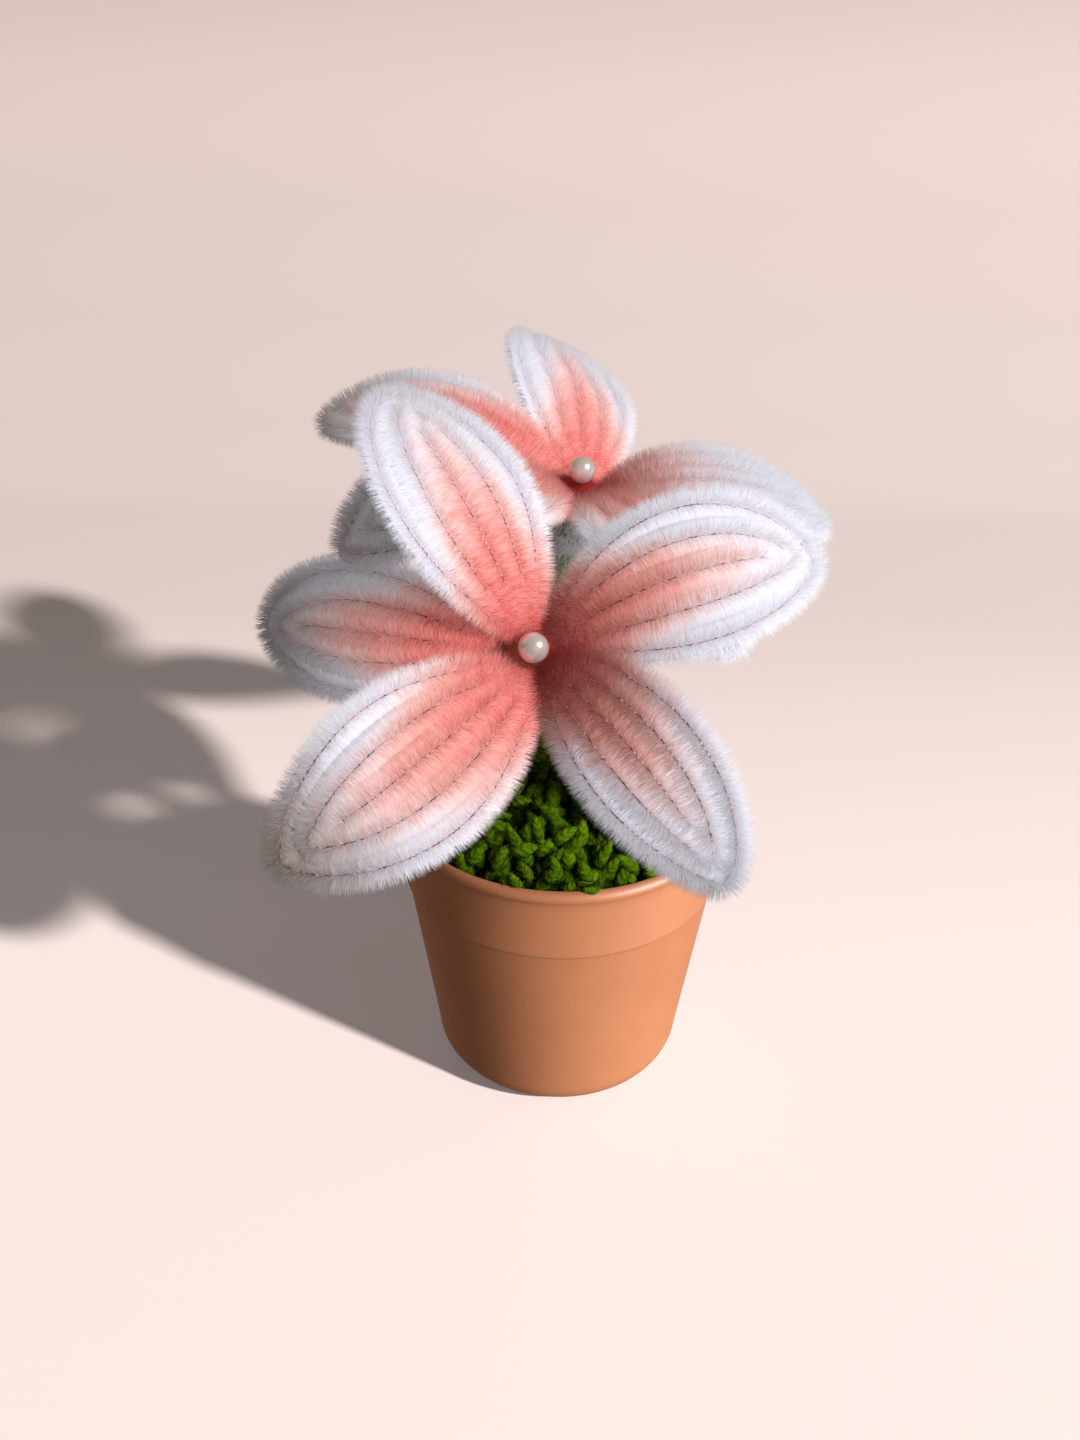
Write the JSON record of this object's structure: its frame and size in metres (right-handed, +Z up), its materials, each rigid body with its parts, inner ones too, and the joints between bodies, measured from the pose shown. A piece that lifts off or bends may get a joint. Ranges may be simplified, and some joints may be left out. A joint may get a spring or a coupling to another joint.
{
  "type": "potted chenille frangipani ornament",
  "caption": "Tabletop ornament: small plastic pot with yarn moss and frangipani blooms bent from fuzzy chenille stems around pearl beads, standing on wire stems.",
  "frame": {"origin": "centre of the pot's flat resting face, on the pot's axis", "axes": "+Z up along the pot's axis; -Y towards the viewer of the picture, the side the front bloom faces; +X to that viewer's right"},
  "size_m": [0.1269, 0.1472, 0.1329],
  "materials": {
    "pot_plastic": "satin terracotta-coloured moulded plastic",
    "plaster": "matte cast plaster",
    "yarn_moss": "green knitting yarn, stitched",
    "floral_tape": "wound crepe paper tape, faintly waxy",
    "steel_wire": "bright drawn wire",
    "pearl": "pearlescent off-white",
    "chenille": "fuzzy pile, coral at the heart fading to cool white"
  },
  "bodies": {
    "root": {"pot": "pot_plastic", "filler_plug": "plaster", "moss_mound": "yarn_moss", "front_bead": "pearl", "front_bead_peg": "steel_wire", "front_heart": "floral_tape", "front_left_inner_loop": "chenille", "front_left_mid_strand": "chenille", "front_left_outer_loop": "chenille", "front_lower_left_inner_loop": "chenille", "front_lower_left_mid_strand": "chenille", "front_lower_left_outer_loop": "chenille", "front_lower_right_inner_loop": "chenille", "front_lower_right_mid_strand": "chenille", "front_lower_right_outer_loop": "chenille", "front_right_inner_loop": "chenille", "front_right_mid_strand": "chenille", "front_right_outer_loop": "chenille", "front_stem": "floral_tape", "front_upper_left_inner_loop": "chenille", "front_upper_left_mid_strand": "chenille", "front_upper_left_outer_loop": "chenille", "back_bead": "pearl", "back_bead_peg": "steel_wire", "back_heart": "floral_tape", "back_left_inner_loop": "chenille", "back_left_mid_strand": "chenille", "back_left_outer_loop": "chenille", "back_lower_left_inner_loop": "chenille", "back_lower_left_mid_strand": "chenille", "back_lower_left_outer_loop": "chenille", "back_lower_right_inner_loop": "chenille", "back_lower_right_mid_strand": "chenille", "back_lower_right_outer_loop": "chenille", "back_right_inner_loop": "chenille", "back_right_mid_strand": "chenille", "back_right_outer_loop": "chenille", "back_stem": "floral_tape", "back_top_inner_loop": "chenille", "back_top_mid_strand": "chenille", "back_top_outer_loop": "chenille"}
  },
  "joints": []
}
